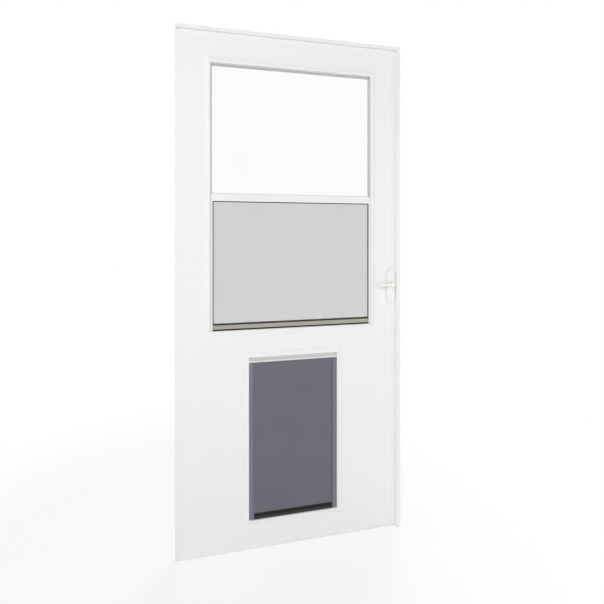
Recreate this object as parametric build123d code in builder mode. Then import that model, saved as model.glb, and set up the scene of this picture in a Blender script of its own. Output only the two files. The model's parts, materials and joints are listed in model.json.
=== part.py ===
from build123d import *
import os

# A storm door for a 36 by 80 inch opening, seen from the room: a white slab leaf with a tall two-part
# window above and a pet door below, hung on three half-surface hinges in slim mounting rails.
# +Z is up, +X runs from the hinge side to the latch side, and -Y is the room side.
# The origin is on the outer face of the hinge side rail, at its foot and halfway through the leaf.
# All sizes are in millimetres.

# Overall size, and the mounting rails round the leaf
overall_width = 914.4
overall_height = 2032.0
rail_wall = 2.0
latch_stop_width = 18.0
head_stop_height = 14.0
rail_outer_depth = 20.0
drip_nose_depth = 12.0
mount_screw_radius = 2.6
mount_pair_centres = (560.0, 1480.0)
mount_pair_spacing = 460.0
head_screw_spacing = 600.0
seal_gap = 0.3
seal_width = 6.0
seal_inset = 1.0
hinge_seal_depth = 3.5
head_seal_start = 20.0
head_seal_lap = 5.5
stop_clearance = 5.3

# Leaf
leaf_thickness = 32.0
skin_thickness = 1.2
hinge_gap = 5.0
latch_gap = 7.4
head_gap = 5.5
leaf_foot = 8.0
lap_reveal = 0.5
edge_channel_wall = 1.5
latch_channel_width = 24.6
channel_groove = 0.5
sweep_width = 26.0
sweep_plate = 3.0
sweep_fin = 1.5
sweep_fin_spacing = 16.0

# Window: the moulding's outer edge, and how wide the moulding and the track frame show inside it
window_side = 108.0
window_head = 109.0
window_sill = 842.5
moulding_width = 23.0
moulding_outer_lip = 1.8
moulding_cove_width = 13.0
moulding_cove_rise = 5.0
moulding_cove_sag = 0.7
moulding_crest_bulge = 2.0
moulding_inner_lip = 2.2
moulding_cover = 14.0
track_depth = 9.5
track_base = 3.0
track_rib = 1.4
track_pitch = 10.0
pane_inset = 0.3
cover_clearance = 0.2
pane_thickness = 3.2
meeting_rail_foot = 1367.5
meeting_rail_height = 28.0
meeting_rail_depth = 7.0
pane_seat = 6.0
sash_bar_width = 13.0
sash_bar_depth = 7.0
sash_bottom_height = 27.0
screen_bar_width = 9.0
screen_bar_depth = 4.5
screen_bottom_height = 18.0
screen_top_height = 25.0
mesh_thickness = 0.8

# Pet door
pet_left = 278.0
pet_width = 358.0
pet_sill = 118.0
pet_height = 638.0
pet_trim_width = 20.0
pet_trim_height = 6.0
pet_trim_lip = 2.5
pet_trim_round = 4.0
tunnel_wall = 4.0
tunnel_clearance = 0.5
clamp_height = 21.0
clamp_depth = 12.0
clamp_step_height = 10.0
clamp_step_depth = 2.5
side_strip_width = 18.0
side_strip_depth = 9.0
flap_side_gap = 5.0
brush_gap = 0.5
brush_thickness = 1.6
flap_thickness = 3.0
flap_plane = -10.5
flap_top_gap = 0.5
magnet_height = 10.0
magnet_depth = 8.0
threshold_height = 9.5
threshold_depth = 16.0
threshold_shift = 3.0
threshold_gap = 0.8

# Hinges
hinge_height = 100.0
hinge_end_distance = 200.0
barrel_radius = 5.0
pin_radius = 2.5
pin_clearance = 0.05
pin_head_radius = 3.8
pin_head_height = 2.5
knuckle_share = 0.25
knuckle_gap = 0.3
hinge_plate = 2.0
frame_plate_depth = 29.0
door_plate_width = 43.0

# Lever handle and latch
backset = 43.0
handle_height = 1030.0
escutcheon_length = 150.0
escutcheon_width = 38.0
escutcheon_thickness = 9.0
escutcheon_drop = 10.0
escutcheon_bevel = 2.6
neck_radius = 9.0
neck_clearance = 0.08
neck_engagement = 7.0
lever_reach = 31.0
lever_length = 73.0
lever_thickness = 11.5
lever_height = 14.0
lever_bow = 1.5
lever_tip_return = 4.0
lever_tip_thickness = 8.5
lever_tip_rounding = 3.5
lever_bevel = 2.4
lever_second_bevel = 0.9
hub_radius = 10.5
hub_gap = 1.0
hub_bevel = 1.5
spindle_width = 8.0
spindle_bore_radius = 9.5
latch_tube_radius = 11.0
latch_tube_clearance = 0.3
latch_cam_radius = 6.2
latch_plate_height = 57.0
latch_plate_width = 25.0
latch_bolt_width = 12.0
latch_bolt_height = 16.0
latch_bolt_clearance = 0.3
latch_bore_spare = 2.0
strike_height = 70.0
strike_width = 28.0
strike_thickness = 1.5
strike_corner = 4.0
strike_hole_margin = 2.0

mitre_gap = 0.2

# Places that several pieces share
leaf_front = -leaf_thickness / 2
leaf_back = leaf_thickness / 2
core_front = leaf_front + skin_thickness
core_back = leaf_back - skin_thickness
leaf_left = rail_wall + hinge_plate + hinge_gap
leaf_right = overall_width - rail_wall - latch_gap
leaf_top = overall_height - rail_wall - head_gap
core_left = leaf_left + edge_channel_wall
core_right = leaf_right - edge_channel_wall
channel_left = leaf_right - latch_channel_width
stop_back = leaf_front - stop_clearance
stop_front = stop_back - rail_wall
pin_x = rail_wall + barrel_radius
pin_y = leaf_back + barrel_radius
spindle_x = overall_width - backset
spindle_z = handle_height

window_x = (window_side, overall_width - window_side)
window_z = (window_sill, overall_height - window_head)
window_hole_x = (window_x[0] + moulding_cover, window_x[1] - moulding_cover)
window_hole_z = (window_z[0] + moulding_cover, window_z[1] - moulding_cover)
pane_edge = track_base + pane_inset
pane_x = (window_hole_x[0] + pane_edge, window_hole_x[1] - pane_edge)
pane_z = (window_hole_z[0] + pane_edge, window_hole_z[1] - pane_edge)
meeting_z = (meeting_rail_foot, meeting_rail_foot + meeting_rail_height)
sash_y = -track_pitch
upper_y = 0.0
screen_y = track_pitch

pet_x = (pet_left, pet_left + pet_width)
pet_z = (pet_sill, pet_sill + pet_height)
pet_hole_grow = tunnel_wall + tunnel_clearance
pet_hole_x = (pet_x[0] - pet_hole_grow, pet_x[1] + pet_hole_grow)
pet_hole_z = (pet_z[0] - pet_hole_grow, pet_z[1] + pet_hole_grow)
flap_x = (pet_x[0] + side_strip_width + flap_side_gap, pet_x[1] - side_strip_width - flap_side_gap)
clamp_z = (pet_z[1] - clamp_height, pet_z[1])
flap_pivot_z = clamp_z[0] - flap_top_gap - flap_thickness / 2
threshold_top = pet_z[0] + threshold_height
magnet_z = (threshold_top + threshold_gap, threshold_top + threshold_gap + magnet_height)
hinge_centres = (hinge_end_distance, overall_height / 2, overall_height - hinge_end_distance)

os.makedirs("parts", exist_ok=True)


def write(piece, label):
    """Name a finished piece and write its STEP file."""
    piece.part.label = label
    export_step(piece.part, f"parts/{label}.step")


def block(x, y, z):
    """A square-edged piece between two limits along each axis."""
    with BuildPart() as piece:
        with BuildSketch(Plane.XY.offset(z[0])):
            with Locations(((x[0] + x[1]) / 2, (y[0] + y[1]) / 2)):
                Rectangle(x[1] - x[0], y[1] - y[0])
        extrude(amount=z[1] - z[0])
    return piece


def gathered(pieces):
    """Separate solids that share one node."""
    with BuildPart() as group:
        for piece in pieces:
            add(piece.part)
    return group


def mitred_frame(x, z, y_face, outward, widths, section):
    """Four mitred bars round an opening, each an extruded section with a hairline at the mitres.

    x and z are the outer limits, y_face is the plane that the section stands on, and outward is -1 for
    the room side and 1 for the outside. section gives a bar's face on (inward, outward) axes.
    """
    corners = [(x[0], z[0]), (x[1], z[0]), (x[1], z[1]), (x[0], z[1])]
    if outward > 0:
        corners.reverse()
    bars = []
    for index, start in enumerate(corners):
        end = corners[(index + 1) % len(corners)]
        begin = Vector(start[0], y_face, start[1])
        finish = Vector(end[0], y_face, end[1])
        along = (finish - begin).normalized()
        inward = Vector(0, outward, 0).cross(along)
        profile = section(widths[index])
        with BuildPart() as bar:
            with BuildSketch(Plane(origin=begin, x_dir=inward, z_dir=along)):
                add(profile)
            extrude(amount=(finish - begin).length)
            first_cut = Plane(origin=begin + along * (mitre_gap / 2), z_dir=along - inward)
            last_cut = Plane(origin=finish - along * (mitre_gap / 2), z_dir=along * -1 - inward)
            split(bisect_by=first_cut, keep=Keep.TOP)
            split(bisect_by=last_cut, keep=Keep.TOP)
        bars.append(bar)
    return gathered(bars)


# Mounting rails: a flat web screwed to the side of the opening, and a stop leg on the room side
def rail_screw_holes(web_outside):
    """Two pairs of screw holes through the web that starts at this x."""
    with BuildPart() as holes:
        for centre in mount_pair_centres:
            with BuildSketch(Plane(origin=(web_outside, 0, centre), x_dir=(0, 1, 0), z_dir=(1, 0, 0))):
                with GridLocations(1, mount_pair_spacing, 1, 2):
                    Circle(mount_screw_radius)
            extrude(amount=rail_wall)
    return holes


hinge_web_front = core_front + seal_gap + hinge_seal_depth
hinge_rail_holes = rail_screw_holes(0)
with BuildPart() as hinge_jamb:
    with BuildSketch(Plane.XY):
        with Locations((rail_wall / 2, (hinge_web_front + rail_outer_depth) / 2)):
            Rectangle(rail_wall, rail_outer_depth - hinge_web_front)
    extrude(amount=overall_height - rail_wall)
    add(hinge_rail_holes.part, mode=Mode.SUBTRACT)
write(hinge_jamb, "hinge_jamb")

stop_left = overall_width - latch_stop_width
web_left = overall_width - rail_wall
latch_rail_holes = rail_screw_holes(web_left)
with BuildPart() as latch_jamb:
    with BuildSketch(Plane.XY):
        with BuildLine():
            Polyline(
                (overall_width, stop_front),
                (overall_width, rail_outer_depth),
                (web_left, rail_outer_depth),
                (web_left, stop_back),
                (stop_left, stop_back),
                (stop_left, stop_front),
                close=True,
            )
        make_face()
    extrude(amount=overall_height - rail_wall)
    add(latch_rail_holes.part, mode=Mode.SUBTRACT)
write(latch_jamb, "latch_jamb")

head_stop_foot = overall_height - head_stop_height
head_underside = overall_height - rail_wall
with BuildPart() as head_jamb:
    nose = rail_outer_depth + drip_nose_depth
    with BuildSketch(Plane.YZ):
        with BuildLine():
            Polyline(
                (nose, head_underside),
                (stop_back, head_underside),
                (stop_back, head_stop_foot),
                (stop_front, head_stop_foot),
                (stop_front, overall_height),
                (nose, overall_height),
            )
            ThreePointArc(
                (nose, overall_height), (nose + rail_wall / 2, overall_height - rail_wall / 2), (nose, head_underside)
            )
        make_face()
    extrude(amount=overall_width)
    # the latch side rail's stop leg runs up to the underside of the head's web
    with BuildSketch(Plane.XY.offset(head_stop_foot)):
        with Locations((overall_width - latch_stop_width / 2, (stop_front + stop_back) / 2)):
            Rectangle(latch_stop_width, rail_wall)
    extrude(amount=head_stop_height - rail_wall, mode=Mode.SUBTRACT)
    with BuildSketch(Plane.XY.offset(head_underside)):
        with Locations((overall_width / 2, 0)):
            with GridLocations(head_screw_spacing, 1, 2, 1):
                Circle(mount_screw_radius)
    extrude(amount=rail_wall, mode=Mode.SUBTRACT)
write(head_jamb, "head_jamb")

hinge_seal = block((0, rail_wall + seal_inset), (core_front + seal_gap, hinge_web_front), (0, head_underside))
latch_seal_left = stop_left + seal_inset
latch_seal = block(
    (latch_seal_left, latch_seal_left + seal_width), (stop_back, leaf_front - seal_gap), (0, head_stop_foot)
)
head_seal = block(
    (head_seal_start, stop_left), (stop_back, leaf_front - seal_gap), (head_stop_foot, head_stop_foot + head_seal_lap)
)
write(gathered([hinge_seal, latch_seal, head_seal]), "weatherstrips")

with BuildPart() as strike_plate:
    strike_left = web_left - strike_thickness
    with BuildSketch(Plane(origin=(strike_left, 0, spindle_z), x_dir=(0, 1, 0), z_dir=(1, 0, 0))):
        RectangleRounded(strike_width, strike_height, strike_corner)
        Rectangle(
            latch_bolt_width + strike_hole_margin, latch_bolt_height + strike_hole_margin, mode=Mode.SUBTRACT
        )
    extrude(amount=strike_thickness)
write(strike_plate, "strike_plate")

# Leaf core: plain timber blocks round the window and the pet door
core_y = (core_front, core_back)
core_z = (leaf_foot, leaf_top)
write(block((core_left, window_hole_x[0]), core_y, core_z), "hinge_stile")

with BuildPart() as latch_stile:
    with BuildSketch(Plane.XY.offset(leaf_foot)):
        with Locations(((window_hole_x[1] + core_right) / 2, 0)):
            Rectangle(core_right - window_hole_x[1], core_back - core_front)
    extrude(amount=leaf_top - leaf_foot)
    with BuildSketch(Plane(origin=(core_right, 0, spindle_z), z_dir=(-1, 0, 0))):
        Circle(latch_tube_radius + latch_tube_clearance)
    extrude(amount=core_right - spindle_x + latch_tube_radius + latch_bore_spare, mode=Mode.SUBTRACT)
    with BuildSketch(Plane(origin=(spindle_x, core_front, spindle_z), z_dir=(0, 1, 0))):
        Circle(spindle_bore_radius)
    extrude(amount=core_back - core_front, mode=Mode.SUBTRACT)
write(latch_stile, "latch_stile")

field_x = window_hole_x
write(block(field_x, core_y, (window_hole_z[1], leaf_top)), "top_rail")
write(block(field_x, core_y, (pet_hole_z[1], window_hole_z[0])), "lock_rail")
write(block((field_x[0], pet_hole_x[0]), core_y, (pet_hole_z[0], pet_hole_z[1])), "lower_panel_hinge_side")
write(block((pet_hole_x[1], field_x[1]), core_y, (pet_hole_z[0], pet_hole_z[1])), "lower_panel_latch_side")
write(block(field_x, core_y, (leaf_foot, pet_hole_z[0])), "bottom_rail")


def skin(y_face):
    """A metal sheet over one face of the core, cut out for the window, the pet door and the spindle."""
    with BuildPart() as sheet:
        with BuildSketch(Plane(origin=(0, y_face, 0), x_dir=(1, 0, 0), z_dir=(0, -1, 0))):
            with Locations(((core_left + channel_left - channel_groove) / 2, (leaf_foot + leaf_top) / 2)):
                Rectangle(channel_left - channel_groove - core_left, leaf_top - leaf_foot)
            for x, z in ((window_hole_x, window_hole_z), (pet_hole_x, pet_hole_z)):
                with Locations(((x[0] + x[1]) / 2, (z[0] + z[1]) / 2)):
                    Rectangle(x[1] - x[0], z[1] - z[0], mode=Mode.SUBTRACT)
            with Locations((spindle_x, spindle_z)):
                Circle(spindle_bore_radius, mode=Mode.SUBTRACT)
        extrude(amount=skin_thickness)
    return sheet


write(skin(core_front), "interior_skin")
write(skin(leaf_back), "exterior_skin")

# The hinge edge: a channel over the stile whose room-side leg laps across the mounting rail
with BuildPart() as hinge_edge_lap:
    with BuildSketch(Plane.XY.offset(leaf_foot)):
        with BuildLine():
            Polyline(
                (lap_reveal, leaf_front),
                (core_left, leaf_front),
                (core_left, leaf_back),
                (leaf_left, leaf_back),
                (leaf_left, core_front),
                (lap_reveal, core_front),
                close=True,
            )
        make_face()
    extrude(amount=leaf_top - leaf_foot)
write(hinge_edge_lap, "hinge_edge_lap")

with BuildPart() as latch_edge_channel:
    with BuildSketch(Plane.XY.offset(leaf_foot)):
        with Locations((channel_left + latch_channel_width / 2, 0)):
            Rectangle(latch_channel_width, leaf_thickness)
        inner_width = latch_channel_width - edge_channel_wall
        with Locations((channel_left + inner_width / 2, 0)):
            Rectangle(inner_width, core_back - core_front, mode=Mode.SUBTRACT)
    extrude(amount=leaf_top - leaf_foot)
    with BuildSketch(Plane(origin=(core_right, 0, spindle_z), x_dir=(0, 1, 0), z_dir=(1, 0, 0))):
        Rectangle(latch_plate_width, latch_plate_height)
    extrude(amount=edge_channel_wall, mode=Mode.SUBTRACT)
write(latch_edge_channel, "latch_edge_channel")

with BuildPart() as bottom_sweep:
    with BuildSketch(Plane.YZ.offset(leaf_left)):
        with Locations((0, leaf_foot - sweep_plate / 2)):
            Rectangle(sweep_width, sweep_plate)
        with Locations((0, (leaf_foot - sweep_plate) / 2)):
            with GridLocations(sweep_fin_spacing, 1, 2, 1):
                Rectangle(sweep_fin, leaf_foot - sweep_plate)
    extrude(amount=leaf_right - leaf_left)
write(bottom_sweep, "bottom_sweep")


def moulding_section(width):
    """A picture-frame moulding: a thin outer lip, a shallow cove and a rounded crest that falls to the panes."""
    cove_end = (moulding_cove_width, moulding_cove_rise)
    cove_middle = (moulding_cove_width / 2, (moulding_outer_lip + moulding_cove_rise) / 2 - moulding_cove_sag)
    crest_middle = (
        (moulding_cove_width + width) / 2,
        (moulding_cove_rise + moulding_inner_lip) / 2 + moulding_crest_bulge,
    )
    with BuildSketch() as section:
        with BuildLine():
            Line((0, 0), (0, moulding_outer_lip))
            ThreePointArc((0, moulding_outer_lip), cove_middle, cove_end)
            ThreePointArc(cove_end, crest_middle, (width, moulding_inner_lip))
            Polyline((width, moulding_inner_lip), (width, 0), (0, 0))
        make_face()
    return section.sketch


def track_section(width):
    """Three channels side by side between four ribs, for the lower sash, the upper pane and the screen."""
    with BuildSketch() as section:
        with Locations((track_base / 2, leaf_thickness / 2)):
            Rectangle(track_base, leaf_thickness)
        with Locations((width / 2, leaf_thickness / 2)):
            with GridLocations(1, track_pitch, 1, 4):
                Rectangle(width, track_rib)
    return section.sketch


def bar_section(depth):
    """A plain rectangular bar of the given depth."""

    def rectangle(width):
        with BuildSketch() as section:
            with Locations((width / 2, depth / 2)):
                Rectangle(width, depth)
        return section.sketch

    return rectangle


mould = [moulding_width] * 4
write(mitred_frame(window_x, window_z, leaf_front, -1, mould, moulding_section), "window_moulding_inside")
write(mitred_frame(window_x, window_z, leaf_back, 1, mould, moulding_section), "window_moulding_outside")
tracks = [track_depth] * 4
track_frame = mitred_frame(window_hole_x, window_hole_z, leaf_back, -1, tracks, track_section)


def track_covers():
    """White strips snapped into the two tracks that stand empty beside and over the fixed upper pane."""
    half = (track_pitch - track_rib) / 2 - cover_clearance
    left, right = window_hole_x
    top = window_hole_z[1]
    side_z = (meeting_z[1] + cover_clearance, top - track_depth - cover_clearance)
    seat = track_base + cover_clearance
    strips = []
    for track in (sash_y, screen_y):
        depth = (track - half, track + half)
        strips.append(block((left + seat, left + track_depth), depth, side_z))
        strips.append(block((right - track_depth, right - seat), depth, side_z))
        strips.append(block((left + seat, right - seat), depth, (top - track_depth, top - seat)))
    return gathered(strips)


write(gathered([track_frame, track_covers()]), "window_track_frame")

groove_foot = meeting_z[0] + pane_seat
upper_depth = (upper_y - pane_thickness / 2, upper_y + pane_thickness / 2)
write(block(pane_x, upper_depth, (groove_foot, pane_z[1])), "upper_glass")

with BuildPart() as meeting_rail:
    with BuildSketch(Plane.YZ.offset(pane_x[0])):
        with Locations((upper_y, (meeting_z[0] + meeting_z[1]) / 2)):
            Rectangle(meeting_rail_depth, meeting_rail_height)
        with Locations((upper_y, (groove_foot + meeting_z[1]) / 2)):
            Rectangle(pane_thickness, meeting_rail_height - pane_seat, mode=Mode.SUBTRACT)
    extrude(amount=pane_x[1] - pane_x[0])
write(meeting_rail, "meeting_rail")

# The lower sash stands on the room side, and its top bar covers the upper pane's meeting rail
sash_x = pane_x
sash_z = (pane_z[0], meeting_z[1])
sash_depth = (sash_y - sash_bar_depth / 2, sash_y + sash_bar_depth / 2)
sash_clear_x = (sash_x[0] + sash_bar_width, sash_x[1] - sash_bar_width)
sash_clear_z = (sash_z[0] + sash_bottom_height, sash_z[1] - meeting_rail_height)
rail_x = (sash_clear_x[0] + mitre_gap, sash_clear_x[1] - mitre_gap)
write(
    gathered(
        [
            block((sash_x[0], sash_clear_x[0]), sash_depth, sash_z),
            block((sash_clear_x[1], sash_x[1]), sash_depth, sash_z),
            block(rail_x, sash_depth, (sash_clear_z[1], sash_z[1])),
        ]
    ),
    "lower_sash_frame",
)
write(block(rail_x, sash_depth, (sash_z[0], sash_clear_z[0])), "sash_bottom_rail")
glass_depth = (sash_y - pane_thickness / 2, sash_y + pane_thickness / 2)
write(block(sash_clear_x, glass_depth, sash_clear_z), "lower_glass")

# The insect screen stands behind them in the outer track
screen_z = (pane_z[0], meeting_z[1])
screen_depth = (screen_y - screen_bar_depth / 2, screen_y + screen_bar_depth / 2)
screen_clear_x = (pane_x[0] + screen_bar_width, pane_x[1] - screen_bar_width)
screen_clear_z = (screen_z[0] + screen_bottom_height, screen_z[1] - screen_top_height)
screen_side_z = (screen_clear_z[0] + mitre_gap, screen_clear_z[1] - mitre_gap)
write(
    gathered(
        [
            block(pane_x, screen_depth, (screen_z[0], screen_clear_z[0])),
            block(pane_x, screen_depth, (screen_clear_z[1], screen_z[1])),
            block((pane_x[0], screen_clear_x[0]), screen_depth, screen_side_z),
            block((screen_clear_x[1], pane_x[1]), screen_depth, screen_side_z),
        ]
    ),
    "screen_frame",
)
mesh_depth = (screen_y - mesh_thickness / 2, screen_y + mesh_thickness / 2)
write(block(screen_clear_x, mesh_depth, screen_clear_z), "insect_screen")


# Pet door
def trim_section(width):
    """The flange round the pet door: a thin outer edge that rises to a rounded rim at the opening."""
    round_start = (width - pet_trim_round, pet_trim_height)
    round_end = (width, pet_trim_height - pet_trim_round)
    with BuildSketch() as section:
        with BuildLine():
            Line((0, 0), (0, pet_trim_lip))
            Line((0, pet_trim_lip), round_start)
            JernArc(round_start, (1, 0), pet_trim_round, -90)
            Line(round_end, (width, 0))
            Line((width, 0), (0, 0))
        make_face()
    return section.sketch


trim_x = (pet_x[0] - pet_trim_width, pet_x[1] + pet_trim_width)
trim_z = (pet_z[0] - pet_trim_width, pet_z[1] + pet_trim_width)
trims = [pet_trim_width] * 4
write(mitred_frame(trim_x, trim_z, leaf_front, -1, trims, trim_section), "pet_trim_inside")
write(mitred_frame(trim_x, trim_z, leaf_back, 1, trims, trim_section), "pet_trim_outside")

tunnel_x = (pet_x[0] - tunnel_wall, pet_x[1] + tunnel_wall)
tunnel_z = (pet_z[0] - tunnel_wall, pet_z[1] + tunnel_wall)
tunnels = [tunnel_wall] * 4
write(mitred_frame(tunnel_x, tunnel_z, leaf_back, -1, tunnels, bar_section(leaf_thickness)), "pet_tunnel")

strip_front = flap_plane - side_strip_depth / 2
strip_back = flap_plane + side_strip_depth / 2
clamp_front = flap_plane - clamp_depth / 2
clamp_back = flap_plane + clamp_depth / 2
with BuildPart() as flap_clamp_bar:
    # the upper half is set back, so the lower half reads as a raised band
    with BuildSketch(Plane.YZ.offset(pet_x[0])):
        with BuildLine():
            Polyline(
                (clamp_back, clamp_z[0]),
                (clamp_back, clamp_z[1]),
                (clamp_front + clamp_step_depth, clamp_z[1]),
                (clamp_front + clamp_step_depth, clamp_z[0] + clamp_step_height),
                (clamp_front, clamp_z[0] + clamp_step_height - clamp_step_depth / 2),
                (clamp_front, clamp_z[0]),
                close=True,
            )
        make_face()
    extrude(amount=pet_width)
write(flap_clamp_bar, "flap_clamp_bar")

strip_z = (pet_z[0], clamp_z[0])
write(
    gathered(
        [
            block((pet_x[0], pet_x[0] + side_strip_width), (strip_front, strip_back), strip_z),
            block((pet_x[1] - side_strip_width, pet_x[1]), (strip_front, strip_back), strip_z),
        ]
    ),
    "flap_side_strips",
)
brush_y = (flap_plane - brush_thickness / 2, flap_plane + brush_thickness / 2)
brush_z = (threshold_top, clamp_z[0])
threshold_y = flap_plane + threshold_shift
write(
    gathered(
        [
            block((pet_x[0] + side_strip_width, flap_x[0] - brush_gap), brush_y, brush_z),
            block((flap_x[1] + brush_gap, pet_x[1] - side_strip_width), brush_y, brush_z),
        ]
    ),
    "flap_side_brushes",
)
write(
    block(
        (pet_x[0] + side_strip_width, pet_x[1] - side_strip_width),
        (threshold_y - threshold_depth / 2, threshold_y + threshold_depth / 2),
        (pet_z[0], threshold_top),
    ),
    "pet_threshold",
)

with BuildPart() as pet_flap:
    with BuildSketch(Plane.YZ.offset(flap_x[0])):
        with Locations((flap_plane, (magnet_z[1] + flap_pivot_z) / 2)):
            Rectangle(flap_thickness, flap_pivot_z - magnet_z[1])
        with Locations((flap_plane, flap_pivot_z)):
            Circle(flap_thickness / 2)
    extrude(amount=flap_x[1] - flap_x[0])
write(pet_flap, "pet_flap")
write(
    block(flap_x, (flap_plane - magnet_depth / 2, flap_plane + magnet_depth / 2), magnet_z),
    "flap_magnet_bar",
)


# Hinges: the frame leaf lies on the web of the rail, the door leaf on the outside of the stile
def hinge_pieces(centre):
    """The frame leaf with its end knuckles, the door leaf with its middle knuckle, and the pin."""
    foot = centre - hinge_height / 2
    end_knuckle = hinge_height * knuckle_share
    bore_radius = pin_radius + pin_clearance
    with BuildPart() as frame_leaf:
        with BuildSketch(Plane.XY.offset(foot)):
            with Locations((rail_wall + hinge_plate / 2, pin_y - frame_plate_depth / 2)):
                Rectangle(hinge_plate, frame_plate_depth)
        extrude(amount=hinge_height)
        with BuildSketch(Plane.XY.offset(foot + end_knuckle)):
            with Locations((pin_x, pin_y)):
                Circle(barrel_radius + knuckle_gap)
        extrude(amount=hinge_height - 2 * end_knuckle, mode=Mode.SUBTRACT)
        for start in (foot, foot + hinge_height - end_knuckle):
            with BuildSketch(Plane.XY.offset(start)):
                with Locations((pin_x, pin_y)):
                    Circle(barrel_radius)
            extrude(amount=end_knuckle)
        with BuildSketch(Plane.XY.offset(foot)):
            with Locations((pin_x, pin_y)):
                Circle(bore_radius)
        extrude(amount=hinge_height, mode=Mode.SUBTRACT)
    with BuildPart() as door_leaf:
        middle = hinge_height - 2 * (end_knuckle + knuckle_gap)
        with BuildSketch(Plane.XY.offset(foot)):
            with Locations((pin_x + door_plate_width / 2, leaf_back + hinge_plate / 2)):
                Rectangle(door_plate_width, hinge_plate)
        extrude(amount=hinge_height)
        for start in (foot, foot + hinge_height - end_knuckle - knuckle_gap):
            with BuildSketch(Plane.XY.offset(start)):
                with Locations((pin_x, pin_y)):
                    Circle(barrel_radius + knuckle_gap)
            extrude(amount=end_knuckle + knuckle_gap, mode=Mode.SUBTRACT)
        with BuildSketch(Plane.XY.offset(foot + end_knuckle + knuckle_gap)):
            with Locations((pin_x, pin_y)):
                Circle(barrel_radius)
        extrude(amount=middle)
        with BuildSketch(Plane.XY.offset(foot)):
            with Locations((pin_x, pin_y)):
                Circle(bore_radius)
        extrude(amount=hinge_height, mode=Mode.SUBTRACT)
    with BuildPart() as pin:
        with BuildSketch(Plane.XY.offset(foot)):
            with Locations((pin_x, pin_y)):
                Circle(pin_radius)
        extrude(amount=hinge_height)
        for start in (foot - pin_head_height, foot + hinge_height):
            with BuildSketch(Plane.XY.offset(start)):
                with Locations((pin_x, pin_y)):
                    Circle(pin_head_radius)
            extrude(amount=pin_head_height)
    return frame_leaf, door_leaf, pin


pins = []
for name, centre in zip(("bottom", "middle", "top"), hinge_centres):
    frame_leaf, door_leaf, pin = hinge_pieces(centre)
    write(frame_leaf, f"{name}_hinge_frame_leaf")
    write(door_leaf, f"{name}_hinge_door_leaf")
    pins.append(pin)
write(gathered(pins), "hinge_pins")


# Lever handle, the same inside and outside
def escutcheon(side):
    """A long plate with round ends and a bevelled rim, bored for the lever's neck."""
    centre_z = spindle_z - escutcheon_drop
    face = Plane(origin=(spindle_x, side * leaf_back, centre_z), x_dir=(1, 0, 0), z_dir=(0, side, 0))
    bore = Plane(origin=(spindle_x, side * leaf_back, spindle_z), x_dir=(1, 0, 0), z_dir=(0, side, 0))
    with BuildPart() as plate:
        with BuildSketch(face):
            SlotOverall(escutcheon_length, escutcheon_width, rotation=90)
        extrude(amount=escutcheon_thickness)
        front = plate.faces().sort_by(Axis.Y)[0 if side < 0 else -1]
        chamfer(front.edges(), escutcheon_bevel)
        with BuildSketch(bore):
            Circle(neck_radius + neck_clearance)
        extrude(amount=escutcheon_thickness, mode=Mode.SUBTRACT)
    return plate


def lever(side):
    """An arm that bows outwards and thins to a rounded tip, on a hub and a neck that turns in the plate.

    The arm is drawn in plan and extruded through its height, with its long edges bevelled twice.
    """
    tip_x = spindle_x - lever_length
    outside = leaf_back + lever_reach + lever_thickness / 2
    inside = outside - lever_thickness
    tip_outside = outside - lever_tip_return
    tip_inside = tip_outside - lever_tip_thickness
    middle_x = spindle_x - lever_length / 2
    neck_start = leaf_back + escutcheon_thickness - neck_engagement
    hub_start = leaf_back + escutcheon_thickness + hub_gap
    with BuildPart() as handle:
        with BuildSketch(Plane.XY.offset(spindle_z - lever_height / 2)):
            with BuildLine():
                ThreePointArc(
                    (spindle_x, side * outside),
                    (middle_x, side * (outside + lever_bow - lever_tip_return / 2)),
                    (tip_x, side * tip_outside),
                )
                Line((tip_x, side * tip_outside), (tip_x, side * tip_inside))
                ThreePointArc(
                    (tip_x, side * tip_inside),
                    (middle_x, side * ((inside + tip_inside) / 2 + lever_bow)),
                    (spindle_x, side * inside),
                )
                Line((spindle_x, side * inside), (spindle_x, side * outside))
            make_face()
        extrude(amount=lever_height)
        tip = handle.edges().filter_by(Axis.Z).group_by(Axis.X)[0]
        fillet(tip, lever_tip_rounding)
        for bevel in (lever_bevel, lever_second_bevel):
            rims = handle.faces().filter_by(Axis.Z).edges()
            chamfer(rims.filter_by(lambda edge: edge.center().X < spindle_x - 1), bevel)
        with BuildSketch(Plane(origin=(spindle_x, side * hub_start, spindle_z), z_dir=(0, side, 0))):
            Circle(hub_radius)
        extrude(amount=outside - hub_start)
        cap = handle.faces().filter_by(Axis.Y).sort_by(Axis.Y)[0 if side < 0 else -1]
        chamfer(cap.edges().filter_by(GeomType.CIRCLE), hub_bevel)
        with BuildSketch(Plane(origin=(spindle_x, side * neck_start, spindle_z), z_dir=(0, side, 0))):
            Circle(neck_radius)
        extrude(amount=hub_start - neck_start)
    return handle


write(escutcheon(-1), "interior_escutcheon")
write(escutcheon(1), "exterior_escutcheon")
write(lever(-1), "interior_lever")
write(lever(1), "exterior_lever")

spindle_half = leaf_back + escutcheon_thickness - neck_engagement
write(
    block(
        (spindle_x - spindle_width / 2, spindle_x + spindle_width / 2),
        (-spindle_half, spindle_half),
        (spindle_z - spindle_width / 2, spindle_z + spindle_width / 2),
    ),
    "lever_spindle",
)

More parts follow.
